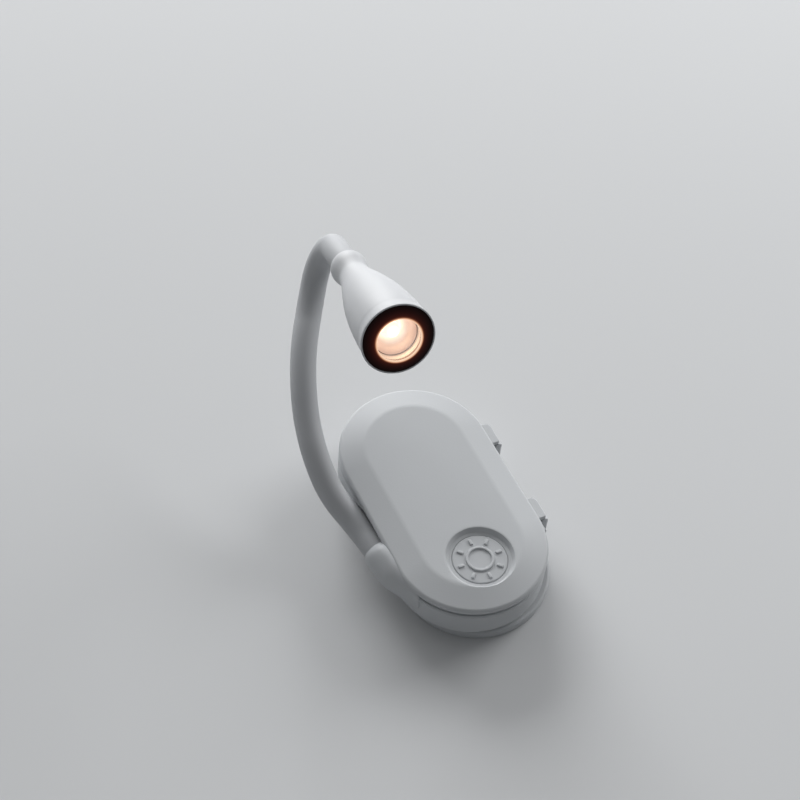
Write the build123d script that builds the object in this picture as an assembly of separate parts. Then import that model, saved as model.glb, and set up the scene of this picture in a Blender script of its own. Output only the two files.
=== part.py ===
from build123d import *
import math
import os

# Clip-on book light: a stadium-shaped battery body with a spring clip under it,
# and a bendable neck that carries a small bell-shaped lamp head.
# Millimetres. +X is the hinge side, +Y the end away from the button, +Z the face.
# The light lies on the back of its clip, at z = 0, under the middle of the body.

# Body
body_length = 57.2
body_width = 32.0
housing_bottom = 4.5
rear_cover_top = 11.0
front_cover_bottom = 12.1
rim_height = 13.3
face_height = 14.5
plateau_inset = 5.3
plateau_round = 5.0
wall = 1.6
floor_thickness = 1.4
ceiling_height = 13.1
skirt_inset = 0.9
skirt_thickness = 1.2
skirt_bottom = 9.9
rim_round = 0.8
bottom_round = 1.2
seam_chamfer = 0.3
slip = 0.1

# Button and switch
button_y = -16.9
recess_radius = 7.2
button_hole_radius = 5.82
button_radius = 5.7
button_top = 13.55
button_travel = 0.6
flange_radius = 6.8
stem_radius = 1.5
icon_height = 0.3
icon_ring_radius = 2.9
icon_ring_width = 0.5
icon_ray_start = 3.5
icon_ray_length = 1.5
icon_ray_width = 0.6
icon_rays = 8
switch_size = 5.2

# Circuit board and cells
board_bottom = 8.0
board_thickness = 1.0
board_half_width = 12.9
cell_x = 1.5
cell_y = 10.5
cell_radius = 10.0
cell_thickness = 3.2
contact_thickness = 0.25
door_radius = 11.0
door_step = 0.8

# Screws
post_radius = 2.1
cover_screw_places = [(-9.5, -20.0), (9.5, -20.0), (-9.0, 22.3), (9.0, 22.3)]
door_screw_y = -3.0
door_tab_radius = 2.5
door_tab_thickness = 1.2
screw_shank = 0.7
screw_head = 1.75
screw_head_height = 0.65
screw_slot = 0.3
cover_screw_length = 6.5
door_screw_length = 2.9

# Clip
pin_x = 16.0
pin_z = 8.9
pin_radius = 0.7
hinge_middle = 0.6
knuckle_spread = 10.3
knuckle_length = 5.8
knuckle_round = 1.2
knuckle_radius = 3.1
knuckle_crown = 58.0
hub_radius = 1.35
lug_radius = 1.5
lug_length = 1.4
jaw_length = 56.0
jaw_width = 32.0
jaw_shift = 2.2
jaw_plate = 2.4
pad_gap = 0.1
pad_length = 34.0
pad_width = 4.2
pad_grooves = 12
spring_leg_end = 2.65
spring_slot_end = 6.6
spring_wire = 0.4
spring_coil_radius = 1.25
spring_turns = 9.5
spring_pitch = 0.9

# Neck, from the socket on the left side of the body to the head
tube_radius = 2.75
ball_gap = 0.1
neck_points = [
    (-16.5, -4.5, 8.5),
    (-17.5, 2.5, 8.5),
    (-20.5, 10.0, 12.0),
    (-21.0, 17.0, 16.5),
    (-20.0, 24.0, 20.0),
    (-18.0, 30.5, 24.0),
    (-15.0, 37.0, 27.5),
    (-10.5, 44.0, 30.5),
    (-7.0, 48.5, 37.0),
    (-5.0, 46.5, 45.0),
    (-6.6, 39.5, 49.7),
]
bend_share = 0.45
socket_radius = 3.3
socket_depth = 6.2
socket_taper = 6.0
socket_tip_radius = 0.6
channel_gap = 0.2
channel_wall = 1.4
lead_radius = 0.45
board_lead_radius = 0.3

# Head
head_yaw = 6.9
head_pitch = 21.4
tail_run = 6.6
head_length = 30.0
head_wall = 1.0
bezel_radius = 6.92
bezel_thickness = 1.2
lens_radius = 4.55
lens_flange = 0.7
lens_rise = 0.7
slug_radius = 4.4
lamp_height = 23.0
tube_in_head = 4.0
cup_mouth = 4.1
tail_mouth = 2.85
mouth_height = -1.8
ball_radius = 3.7
ball_height = 0.4
waist_radius = 3.15
waist_height = 4.1
crease_radius = 6.95
crease_height = 27.2
front_radius = 7.25

os.makedirs("parts", exist_ok=True)


def stadium(length, width, z=0.0, x=0.0):
    return Pos(x, 0, z) * Rot(0, 0, 90) * SlotOverall(length, width)


def slab(length, width, z0, z1, x=0.0):
    return extrude(stadium(length, width, z0, x), z1 - z0)


def inset_slab(inset, z0, z1):
    return slab(body_length - 2 * inset, body_width - 2 * inset, z0, z1)


def disc(radius, z0, z1, x=0.0, y=0.0):
    return Pos(x, y, (z0 + z1) / 2) * Cylinder(radius, z1 - z0)


def box(x0, x1, y0, y1, z0, z1):
    middle = Pos((x0 + x1) / 2, (y0 + y1) / 2, (z0 + z1) / 2)
    return middle * Box(x1 - x0, y1 - y0, z1 - z0)


def rod(radius, start, end):
    start = Vector(*start)
    run = Vector(*end) - start
    place = Plane(origin=start + run * 0.5, z_dir=run.normalized())
    return place * Cylinder(radius, run.length)


def y_rod(radius, x, z, y0, y1):
    return rod(radius, (x, y0, z), (x, y1, z))


def save(name, shape):
    solids = shape.solids()
    shape = solids[0] if len(solids) == 1 else Compound(children=solids)
    shape.label = name
    export_step(shape, os.path.join("parts", name + ".step"))
    print(name, len(solids), round(sum(s.volume for s in solids), 2))


# Directions along the neck
points = [Vector(*p) for p in neck_points]
yaw = math.radians(head_yaw)
pitch = math.radians(head_pitch)
head_axis = Vector(
    -math.sin(yaw) * math.cos(pitch), -math.cos(yaw) * math.cos(pitch), math.sin(pitch)
)
points.append(points[-1] + head_axis * tail_run)
runs = [(b - a) for a, b in zip(points, points[1:])]
ways = [run.normalized() for run in runs]
tail_point = points[-1]
neck_out = ways[0]
neck_start = points[0]
joint_places = [a + run * 0.5 for a, run in zip(points, runs)][:-1]


def bend_radius(corner):
    half_turn = math.radians(ways[corner - 1].get_angle(ways[corner])) / 2
    shorter = min(runs[corner - 1].length, runs[corner].length)
    return bend_share * shorter / math.tan(half_turn)


def tube(start, corner, end, radius):
    path = FilletPolyline(start, points[corner], end, radius=bend_radius(corner))
    section = Plane(origin=start, z_dir=ways[corner - 1]) * Circle(radius)
    return sweep(section, path=path)


def posts(radius, z0, z1):
    return [disc(radius, z0, z1, x, y) for x, y in cover_screw_places]


knuckle_places = (hinge_middle - knuckle_spread, hinge_middle + knuckle_spread)
pin_half = knuckle_spread + knuckle_length / 2 + slip + lug_length


def neck_channel(radius):
    """The space that the neck's first stretch takes beside the body."""
    start = neck_start - neck_out * 0.1
    return rod(radius, start, joint_places[0]) + tube(joint_places[0], 1, joint_places[1], radius)


def neck_socket(radius, tip_radius):
    back = neck_start - neck_out * socket_depth
    taper = Cone(
        radius, tip_radius, socket_taper, align=(Align.CENTER, Align.CENTER, Align.MIN)
    )
    return rod(radius, neck_start, back) + Plane(origin=back, z_dir=-neck_out) * taper


def door_outline(gap, z0, z1):
    """The round battery door with the tab that its screw holds."""
    plate = disc(door_radius + gap, z0, z1, cell_x, cell_y)
    plate += disc(door_tab_radius + gap, z0, z1, cell_x, door_screw_y)
    half = door_tab_radius + gap
    return plate + box(cell_x - half, cell_x + half, door_screw_y, cell_y, z0, z1)


def make_front_cover():
    low = stadium(body_length, body_width, rim_height)
    high = stadium(
        body_length - 2 * plateau_inset, body_width - 2 * plateau_inset, face_height
    )
    rim = slab(body_length, body_width, front_cover_bottom, rim_height)
    cover = rim + loft([low, high], ruled=True)
    shoulder = cover.edges().filter_by_position(Axis.Z, rim_height - 0.01, rim_height + 0.01)
    cover = fillet(shoulder, rim_round)
    border = cover.edges().filter_by_position(Axis.Z, face_height - 0.01, face_height + 0.01)
    cover = fillet(border, plateau_round)
    skirt = inset_slab(skirt_inset, skirt_bottom, front_cover_bottom)
    pocket = inset_slab(skirt_inset + skirt_thickness, skirt_bottom, ceiling_height)
    cover = cover + skirt - pocket
    # Screw posts reach the skirt, and the button slides in a stiffening ring
    floor_of_posts = board_bottom - 0.6
    ribs = Part() + posts(post_radius, floor_of_posts, ceiling_height)
    cover = cover + (ribs & inset_slab(wall + slip, floor_of_posts, ceiling_height))
    for pilot in posts(screw_shank + 0.03, floor_of_posts, ceiling_height - 1.0):
        cover -= pilot
    dish = Pos(0, button_y, 0) * Cone(
        button_hole_radius, recess_radius, 0.9, align=(Align.CENTER, Align.CENTER, Align.MIN)
    )
    cover -= Pos(0, 0, face_height - 0.9) * dish
    cover -= disc(button_hole_radius, skirt_bottom, face_height, 0, button_y)
    cover -= disc(recess_radius, face_height, face_height + 1, 0, button_y)
    # The neck, its socket and the clip's hinge pass through the skirt
    cover -= neck_socket(socket_radius + slip, socket_tip_radius + slip)
    cover -= neck_channel(tube_radius + channel_gap)
    cover -= y_rod(lug_radius + 0.15, pin_x, pin_z, -15.6, 15.6)
    return cover


def make_rear_cover():
    cover = slab(body_length, body_width, housing_bottom, rear_cover_top)
    foot = cover.edges().filter_by_position(Axis.Z, housing_bottom - 0.01, housing_bottom + 0.01)
    cover = fillet(foot, bottom_round)
    seam = cover.edges().filter_by_position(Axis.Z, rear_cover_top - 0.01, rear_cover_top + 0.01)
    cover = chamfer(seam, seam_chamfer)
    # The room inside keeps a wall round the neck's channel
    floor_top = housing_bottom + floor_thickness
    room = inset_slab(wall, floor_top, rear_cover_top + 1)
    lining = neck_channel(tube_radius + channel_gap + channel_wall)
    lining &= inset_slab(0.5, floor_top, skirt_bottom)
    cover -= room
    cover += lining
    cover -= inset_slab(skirt_inset - slip, skirt_bottom, rear_cover_top + 1)
    cover -= neck_channel(tube_radius + channel_gap)
    # Screw posts rise from the floor to meet those of the front cover
    post_top = board_bottom - 0.65
    columns = Part() + posts(post_radius, floor_top, post_top)
    cover += columns & inset_slab(wall / 2, floor_top, post_top)
    for hole in posts(screw_shank + 0.2, housing_bottom, post_top):
        cover -= hole
    for sink in posts(screw_head + 0.15, housing_bottom, housing_bottom + screw_head_height):
        cover -= sink
    for side in (-1, 1):
        cover += disc(1.2, floor_top, board_bottom, side * 11.2, -7.0)
    # Battery opening with a step that the door sits on, and the door's screw post
    step_top = housing_bottom + door_step
    tab_top = housing_bottom + door_tab_thickness
    cover += disc(door_tab_radius, floor_top, floor_top + 0.6, cell_x, door_screw_y)
    cover += disc(1.7, floor_top, board_bottom - 0.3, cell_x, door_screw_y)
    cover -= door_outline(slip, housing_bottom, step_top)
    cover -= disc(cell_radius + 0.35, housing_bottom, floor_top, cell_x, cell_y)
    cover -= disc(door_tab_radius + slip, housing_bottom, tab_top + 0.05, cell_x, door_screw_y)
    cover -= disc(screw_shank + 0.03, tab_top, board_bottom - 0.5, cell_x, door_screw_y)
    # A thicker wall carries the hinge, with lugs beside each knuckle of the clip
    cover += box(13.0, pin_x - 1.3, -15.7, 15.7, floor_top, skirt_bottom - slip) & room
    for knuckle_y in knuckle_places:
        for edge in (-1, 1):
            middle = knuckle_y + edge * (knuckle_length + lug_length + 2 * slip) / 2
            lug = y_rod(lug_radius, pin_x, pin_z, middle - lug_length / 2, middle + lug_length / 2)
            root = box(
                pin_x - 1.0, pin_x, middle - lug_length / 2, middle + lug_length / 2,
                pin_z - lug_radius, pin_z + lug_radius * 0.6,
            )
            cover += lug + root
    for knuckle_y in knuckle_places:
        half = knuckle_length / 2 + slip
        cover -= y_rod(hub_radius + 0.12, pin_x, pin_z, knuckle_y - half, knuckle_y + half)
    # The spring has a pocket, and its rear leg a slot below that
    spring_half = spring_turns * spring_pitch / 2
    room_round_spring = spring_coil_radius + 0.4
    cover -= y_rod(room_round_spring, pin_x, pin_z, -spring_half - 0.6, spring_half + 0.6)
    leg_x = pin_x - spring_coil_radius
    cover -= box(
        leg_x - 0.3, pin_x + 1, spring_half - 0.3, spring_half + 0.6, spring_slot_end - 0.1, pin_z
    )
    cover -= y_rod(pin_radius, pin_x, pin_z, -16.0, 16.0)
    # The two covers grip the neck's ferrule between them
    return cover - neck_socket(socket_radius + slip, socket_tip_radius + slip)


def make_ferrule():
    """Socket that holds the neck's end, with a hole that lets the wires through."""
    back = neck_start - neck_out * socket_depth
    ferrule = neck_socket(socket_radius, socket_tip_radius)
    ferrule -= rod(tube_radius + 0.03, neck_start + neck_out, back + neck_out * 0.2)
    return ferrule - rod(1.0, back + neck_out, back + Vector(4.8, -2.6, 1.2))


def make_button():
    body = disc(button_radius, ceiling_height - 0.1, button_top, 0, button_y)
    body = fillet(body.edges().sort_by(Axis.Z)[-1], 0.25)
    body += disc(flange_radius, ceiling_height - 0.8, ceiling_height - 0.1, 0, button_y)
    body += disc(stem_radius, 11.25, ceiling_height - 0.8, 0, button_y)
    # Raised sun: a ring with short rays around it
    ring = disc(icon_ring_radius, button_top, button_top + icon_height, 0, button_y)
    ring -= disc(
        icon_ring_radius - icon_ring_width, button_top, button_top + icon_height, 0, button_y
    )
    ray = box(
        icon_ray_start, icon_ray_start + icon_ray_length,
        -icon_ray_width / 2, icon_ray_width / 2, button_top, button_top + icon_height,
    )
    body += ring
    for k in range(icon_rays):
        body += Pos(0, button_y, 0) * Rot(0, 0, k * 360 / icon_rays) * ray
    return body


def make_switch():
    base = board_bottom + board_thickness
    body = Pos(0, button_y, base + 0.8) * Box(switch_size, switch_size, 1.6)
    body -= disc(stem_radius + 0.05, base + 0.6, base + 1.6, 0, button_y)
    for side_x in (-1, 1):
        for side_y in (-1, 1):
            x = side_x * (switch_size / 2 + 0.35)
            body += Pos(x, button_y + side_y * 1.6, base + 0.2) * Box(0.7, 0.7, 0.4)
    plunger = disc(stem_radius, base + 1.25, 11.2, 0, button_y)
    return body, plunger


def make_board():
    base = board_bottom
    board = inset_slab(wall + skirt_thickness + 0.3, base, base + board_thickness)
    board &= box(-board_half_width, board_half_width, -30, -1.2, base - 1, base + 2)
    for notch in posts(post_radius + 0.3, base - 1, base + 2):
        board -= notch
    board -= neck_channel(tube_radius + channel_gap + channel_wall + 0.2)
    board -= neck_socket(socket_radius + 0.3, socket_tip_radius + 1.2)
    chip = box(-9.0, -5.0, -10.5, -6.5, base + board_thickness, base + board_thickness + 1.0)
    chip = chamfer(chip.edges().filter_by(Axis.Z), 0.15)
    small = [(5.0, -8.0, 2.0, 1.25), (5.0, -5.5, 2.0, 1.25), (8.5, -7.0, 1.6, 3.2), (-4.0, -4.0, 3.2, 1.6)]
    parts = [chip]
    for x, y, sx, sy in small:
        parts.append(Pos(x, y, base + board_thickness + 0.3) * Box(sx, sy, 0.6))
    return board, Compound(children=[p.solids()[0] for p in parts])


def make_cells():
    low = housing_bottom + floor_thickness + contact_thickness
    cells = []
    for k in range(2):
        z0 = low + k * cell_thickness
        can = disc(cell_radius, z0, z0 + cell_thickness - 0.35, cell_x, cell_y)
        can = fillet(can.edges(), 0.3)
        cap = disc(cell_radius - 1.3, z0 + cell_thickness - 0.4, z0 + cell_thickness, cell_x, cell_y)
        cells.append(can + cap)
    top = low + 2 * cell_thickness
    lower = disc(4.0, low - contact_thickness, low, cell_x, cell_y)
    lower += box(cell_x - 1.5, cell_x + 1.5, -0.4, cell_y, low - contact_thickness, low)
    lower += box(cell_x - 1.5, cell_x + 1.5, -0.4, -0.15, low - contact_thickness, board_bottom)
    upper = disc(5.0, top, top + contact_thickness, cell_x, cell_y)
    upper += box(cell_x - 2, cell_x + 2, -0.4, cell_y, top, top + contact_thickness)
    upper += box(cell_x - 2, cell_x + 2, -0.4, -0.15, board_bottom + board_thickness + 1.0, top)
    return cells, lower, upper


def make_door():
    step_top = housing_bottom + door_step
    floor_top = housing_bottom + floor_thickness
    tab_top = housing_bottom + door_tab_thickness
    door = door_outline(0, housing_bottom, step_top)
    door += disc(door_tab_radius, housing_bottom, tab_top, cell_x, door_screw_y)
    door += disc(cell_radius + 0.25, step_top, floor_top, cell_x, cell_y)
    door -= disc(screw_shank + 0.2, housing_bottom, floor_top, cell_x, door_screw_y)
    sink_top = housing_bottom + screw_head_height
    door -= disc(screw_head + 0.1, housing_bottom, sink_top, cell_x, door_screw_y)
    grip = Pos(cell_x, cell_y, housing_bottom) * Rot(0, 0, 90) * SlotOverall(9.0, 1.6)
    door -= extrude(grip, 0.5)
    return door


def screw(x, y, length):
    """Pan screw with a cross slot, its head flush with the underside of the body."""
    low = housing_bottom
    body = disc(screw_head, low, low + screw_head_height, x, y)
    body += disc(screw_shank, low + screw_head_height, low + length, x, y)
    cross = box(x - 1.0, x + 1.0, y - 0.2, y + 0.2, low, low + screw_slot)
    cross += box(x - 0.2, x + 0.2, y - 1.0, y + 1.0, low, low + screw_slot)
    return body - cross


def make_jaw():
    plate = slab(jaw_length, jaw_width, 0, jaw_plate, jaw_shift)
    rim = plate.edges().filter_by_position(Axis.Z, -0.01, 0.01)
    plate = fillet(rim, 0.6)
    top = plate.edges().filter_by_position(Axis.Z, jaw_plate - 0.01, jaw_plate + 0.01)
    plate = fillet(top, 0.6)
    # Each knuckle is an arm that rises beside the body and ends round the pin
    outer = jaw_width / 2 + jaw_shift
    inner = pin_x + 0.25
    crown = math.radians(knuckle_crown)
    high = (knuckle_radius * math.cos(crown), knuckle_radius * math.sin(crown))
    mid = (knuckle_radius * math.cos(crown / 2), knuckle_radius * math.sin(crown / 2))
    outline = Line((0, 0), high) + ThreePointArc(high, mid, (knuckle_radius, 0))
    outline += Line((knuckle_radius, 0), (outer - pin_x, 1.5 - pin_z))
    outline += Line((outer - pin_x, 1.5 - pin_z), (inner - pin_x, 1.5 - pin_z))
    outline += Line((inner - pin_x, 1.5 - pin_z), (inner - pin_x, -0.9))
    outline += Line((inner - pin_x, -0.9), (0, 0))
    section = make_face(outline.edges()) + Circle(hub_radius)
    for knuckle_y in knuckle_places:
        y1 = knuckle_y + knuckle_length / 2
        place = Plane(origin=(pin_x, y1, pin_z), x_dir=(1, 0, 0), z_dir=(0, -1, 0))
        block = box(
            pin_x - knuckle_radius, pin_x + knuckle_radius, y1 - knuckle_length, y1, 0, rim_height
        )
        corners = block.edges().filter_by(Axis.Z).group_by(Axis.X)[-1]
        plate += extrude(place * section, knuckle_length) & fillet(corners, knuckle_round)
    return plate - y_rod(pin_radius + 0.05, pin_x, pin_z, -16.0, 16.0)


def make_pads():
    # Ribbed rubber strips that meet where the clip closes
    middle = (housing_bottom + jaw_plate) / 2
    pads = []
    for z0, z1, rib in (
        (jaw_plate, middle - pad_gap / 2, 1), (middle + pad_gap / 2, housing_bottom, -1)
    ):
        strip = extrude(
            Pos(-11.6, 3.0, z0) * Rot(0, 0, 90) * SlotOverall(pad_length, pad_width), z1 - z0
        )
        face = z1 if rib > 0 else z0
        for k in range(pad_grooves):
            y = 3.0 + (k - (pad_grooves - 1) / 2) * pad_length / (pad_grooves + 1)
            strip -= box(-15, -8, y - 0.3, y + 0.3, face - 0.35, face + 0.35)
        pads.append(strip)
    return pads


def spring_place(turns):
    """Place and direction of the wire's centre, turns counted from the front end."""
    angle = 2 * math.pi * turns
    r = spring_coil_radius
    y = -spring_turns * spring_pitch / 2 + spring_pitch * turns
    place = Vector(pin_x + r * math.cos(angle), y, pin_z + r * math.sin(angle))
    way = Vector(-r * math.sin(angle), spring_pitch / (2 * math.pi), r * math.cos(angle))
    return place, way.normalized()


def biarc(p, p_way, q, q_way):
    """Two tangent arcs from p to q."""
    run = q - p
    both = p_way + q_way
    share = 2 * (1 - p_way.dot(q_way))
    step = (-run.dot(both) + math.sqrt(run.dot(both) ** 2 + share * run.dot(run))) / share
    join = (p + p_way * step + q - q_way * step) / 2
    way = (q - q_way * step - p - p_way * step).normalized()
    arcs = []
    for start, start_way, end, end_way in ((p, p_way, join, way), (join, way, q, q_way)):
        arcs.append(TangentArc(start, end, tangent=start_way))
    return arcs


def make_spring():
    """Torsion spring: a leg to the jaw, the coil round the pin, a leg into the body."""
    steps = [k / 4 for k in range(int(spring_turns * 4) + 1)]
    marks = [spring_place(turn) for turn in steps]
    path = []
    for (p, p_way), (q, q_way) in zip(marks, marks[1:]):
        path += biarc(p, p_way, q, q_way)
    first, first_way = marks[0]
    last, last_way = marks[-1]
    path.insert(0, Line(first - first_way * (first.Z - spring_leg_end), first))
    path.append(Line(last, last + last_way * (last.Z - spring_slot_end)))
    wire = Wire([edge for piece in path for edge in piece.edges()])
    start = wire @ 0
    section = Plane(origin=start, z_dir=wire % 0) * Circle(spring_wire / 2)
    return sweep(section, path=wire)


def spring_gap():
    """Least distance between wire surfaces a turn apart, measured on points."""
    dots = [spring_place(k / 24)[0] for k in range(int(spring_turns * 24))]
    least = min(
        (a - b).length for i, a in enumerate(dots) for b in dots[i + 16:i + 34]
    )
    return least - spring_wire


def ball(centre, radius):
    return Pos(centre.X, centre.Y, centre.Z) * Sphere(radius)


def neck_link(first, last, corner):
    """Sleeve from one joint to the next: a hollow end behind, a ball end ahead."""
    link = tube(first, corner, last, tube_radius) + ball(last, tube_radius)
    return link - ball(first, tube_radius + ball_gap)


def make_neck():
    base_end = joint_places[0]
    base = rod(tube_radius, neck_start - neck_out * (socket_depth - 0.2), base_end)
    base += ball(base_end, tube_radius)
    links = []
    for k in range(1, len(joint_places)):
        links.append(neck_link(joint_places[k - 1], joint_places[k], k))
    tip = tube(joint_places[-1], len(joint_places), tail_point, tube_radius)
    tip += rod(tube_radius, tail_point, tail_point + head_axis * tube_in_head)
    return base, links, tip - ball(joint_places[-1], tube_radius + ball_gap)


head_place = Plane(origin=tail_point, x_dir=(1, 0, 0), z_dir=head_axis)


def turned(*lines):
    """A solid turned about the head's axis, from lines in radius and height."""
    section = make_face(Curve() + lines)
    return head_place * revolve(Plane.XZ * section, Axis.Z)


def head_disc(radius, z0, z1, x=0.0):
    return head_place * disc(radius, z0, z1, x)


def make_head_shell():
    mouth = (tail_mouth, mouth_height)
    ball_crest = (ball_radius, ball_height)
    waist = (waist_radius, waist_height)
    crease = (crease_radius, crease_height)
    lip = (front_radius, head_length - 0.3)
    edge = (front_radius - 0.2, head_length)
    solid = turned(
        Spline(mouth, ball_crest, waist, tangents=((0.6, 1), (0, 1))),
        Spline(
            waist, (4.7, 10.6), (6.35, 18.6), crease, tangents=((0, 1), (0.02, 1))
        ),
        ThreePointArc(crease, (crease_radius + 0.16, crease_height + 1.2), lip),
        Line(lip, edge),
        Line(edge, (0, head_length)),
        Line((0, head_length), (0, mouth_height)),
        Line((0, mouth_height), mouth),
    )
    start = (tube_radius, 8.0)
    end = (crease_radius - head_wall, crease_height)
    hollow = turned(
        Spline(start, (4.55, 14.0), (5.45, 19.0), end, tangents=((0.35, 1), (0.02, 1))),
        Line(end, (0, crease_height)),
        Line((0, crease_height), (0, 8.0)),
        Line((0, 8.0), start),
    )
    solid -= hollow
    solid -= head_disc(tube_radius + 0.03, mouth_height - 0.5, 8.2)
    back = head_length - bezel_thickness
    solid -= head_disc(crease_radius - head_wall, crease_height - 0.1, back + 0.1)
    return solid - head_disc(bezel_radius + 0.02, back, head_length + 1)


def make_bezel_and_lens():
    front = head_length
    back = front - bezel_thickness
    bezel = head_disc(bezel_radius, back, front)
    bezel -= turned(
        Line((0, back - 1), (lens_radius, back - 1)),
        Line((lens_radius, back - 1), (lens_radius, front - 0.4)),
        Line((lens_radius, front - 0.4), (lens_radius + 0.5, front + 0.1)),
        Line((lens_radius + 0.5, front + 0.1), (0, front + 0.1)),
        Line((0, front + 0.1), (0, back - 1)),
    )
    bezel -= head_disc(lens_radius + lens_flange, back - 0.1, back + 0.6)
    # The lens has a flange behind the bezel and a shallow dome in its opening
    radius = lens_radius - 0.05
    dome_radius = (radius ** 2 + (lens_rise + 0.3) ** 2) / (2 * (lens_rise + 0.3))
    dome = head_place * Pos(0, 0, front + lens_rise - dome_radius) * Sphere(dome_radius)
    lens = head_disc(radius, back + 0.1, front + lens_rise + 0.5) & dome
    lens += head_disc(lens_radius + lens_flange - 0.05, back, back + 0.55)
    return bezel, lens


def make_lamp():
    """Aluminium slug, lamp board, light-emitting chip, reflector and the two wires."""
    slug = head_disc(slug_radius, lamp_height - 4.0, lamp_height - 1.0)
    board = head_disc(slug_radius, lamp_height - 1.0, lamp_height)
    chip = head_place * Pos(0, 0, lamp_height + 0.35) * Box(3.0, 3.0, 0.7)
    chip += head_place * Pos(0, 0, lamp_height + 0.7) * (
        Sphere(1.2) & Pos(0, 0, 1) * Box(4, 4, 2)
    )
    top = head_length - bezel_thickness
    cup = turned(
        Line((2.3, lamp_height), (4.6, lamp_height)),
        Line((4.6, lamp_height), (5.4, crease_height - 1)),
        Line((5.4, crease_height - 1), (5.4, top)),
        Line((5.4, top), (cup_mouth, top)),
        Line((cup_mouth, top), (cup_mouth, top - 0.3)),
        Line((cup_mouth, top - 0.3), (2.3, lamp_height)),
    )
    wires = []
    for side in (-1, 1):
        wires.append(head_disc(lead_radius, tube_in_head + 0.1, lamp_height - 4.0, side * 0.9))
    return slug, board, chip, cup, wires


def make_board_leads():
    """Two wires from the neck's end, through the hole in its socket, to the circuit board."""
    back = neck_start - neck_out * socket_depth
    leads = []
    for shift in (-0.4, 0.4):
        start = back + Vector(0.9, -0.25 + shift, 0.2)
        end = back + Vector(4.4, -2.1 + shift, 1.0)
        leads.append(rod(board_lead_radius, start, end))
    return leads


def group(solids):
    return Compound(children=[solid.solids()[0] for solid in solids])


def main():
    save("front_cover", make_front_cover())
    save("rear_cover", make_rear_cover())
    save("button", make_button())
    switch, plunger = make_switch()
    save("switch_body", switch)
    save("switch_plunger", plunger)
    board, components = make_board()
    save("circuit_board", board)
    save("board_components", components)
    cells, lower, upper = make_cells()
    save("coin_cell_lower", cells[0])
    save("coin_cell_upper", cells[1])
    save("cell_contact_lower", lower)
    save("cell_contact_upper", upper)
    save("battery_door", make_door())
    save("battery_door_screw", screw(cell_x, door_screw_y, door_screw_length))
    save("cover_screws", group([screw(x, y, cover_screw_length) for x, y in cover_screw_places]))
    ends = (hinge_middle - pin_half, hinge_middle + pin_half)
    save("hinge_pin", y_rod(pin_radius - 0.01, pin_x, pin_z, *ends))
    save("clip_spring", make_spring())
    save("clip_jaw", make_jaw())
    jaw_pad, housing_pad = make_pads()
    save("jaw_pad", jaw_pad)
    save("housing_pad", housing_pad)
    save("board_leads", group(make_board_leads()))
    base, links, tip = make_neck()
    save("neck_base", base)
    for k, link in enumerate(links, start=1):
        save("neck_link_" + str(k), link)
    save("neck_tip", tip)
    save("neck_ferrule", make_ferrule())
    save("head_shell", make_head_shell())
    bezel, lens = make_bezel_and_lens()
    save("head_bezel", bezel)
    save("lens", lens)
    slug, lamp_board, chip, cup, wires = make_lamp()
    save("lamp_slug", slug)
    save("lamp_board", lamp_board)
    save("lamp_chip", chip)
    save("reflector", cup)
    save("lamp_leads", group(wires))
    radii = [round(bend_radius(k), 1) for k in range(1, len(points) - 1)]
    print("neck bend radii", radii)
    print("spring's least gap to itself", round(spring_gap(), 2))


main()
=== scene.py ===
# %% [markdown]
# # A clip-on book light
# The real light is a few moulded shells, a bendable neck in a soft sleeve and a small lamp head.
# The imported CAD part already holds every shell, screw and spring at its real size and place. It is
# loaded first and its shapes are never changed, so everything that follows is fitted to it. Lengths
# in this file are in metres, so millimetres are written as numbers times mm.

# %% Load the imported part
import math
import bpy
from mathutils import Matrix, Vector


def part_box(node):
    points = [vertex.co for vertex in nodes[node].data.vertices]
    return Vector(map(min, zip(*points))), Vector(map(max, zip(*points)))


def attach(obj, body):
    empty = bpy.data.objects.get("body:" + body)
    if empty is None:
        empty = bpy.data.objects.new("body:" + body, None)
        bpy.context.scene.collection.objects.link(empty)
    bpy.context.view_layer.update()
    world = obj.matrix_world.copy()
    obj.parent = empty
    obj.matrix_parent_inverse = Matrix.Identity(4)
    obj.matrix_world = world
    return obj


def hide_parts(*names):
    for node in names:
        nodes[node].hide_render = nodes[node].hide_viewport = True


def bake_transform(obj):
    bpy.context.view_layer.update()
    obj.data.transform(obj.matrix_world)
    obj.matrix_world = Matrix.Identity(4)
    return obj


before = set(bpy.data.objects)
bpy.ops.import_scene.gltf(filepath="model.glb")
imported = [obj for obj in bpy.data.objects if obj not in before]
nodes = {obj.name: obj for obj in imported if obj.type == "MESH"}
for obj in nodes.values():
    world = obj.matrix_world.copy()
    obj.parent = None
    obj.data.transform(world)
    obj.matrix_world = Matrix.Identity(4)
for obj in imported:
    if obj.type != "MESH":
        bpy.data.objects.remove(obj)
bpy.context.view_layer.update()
mm = 0.001

# %% [markdown]
# ## Camera
# The photograph looks down on the face of the light from its near left corner, 53 degrees above
# the table, tilted a few degrees. A camera can be placed by hand, by numbers or by an empty that
# it tracks. Numbers were chosen, because the picture has to be met closely and repeated exactly.

# %% Place the camera
camera_place = Vector((-112.9, -169.7, 311.1)) * mm
camera_aim = Vector((-1.68, 18.10, 24.79)) * mm
camera_roll = math.radians(5.95)
lens_length = 78.75
sensor_width = 36.0

camera_data = bpy.data.cameras.new("camera")
camera_data.lens = lens_length
camera_data.sensor_width = sensor_width
camera_data.clip_start = 0.01
camera = bpy.data.objects.new("camera", camera_data)
bpy.context.scene.collection.objects.link(camera)
look = (camera_aim - camera_place).to_track_quat("-Z", "Y").to_matrix().to_4x4()
camera.matrix_world = Matrix.Translation(camera_place) @ look @ Matrix.Rotation(camera_roll, 4, "Z")
bpy.context.scene.camera = camera
print("camera stands", round((camera_aim - camera_place).length, 3), "m away")

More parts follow.
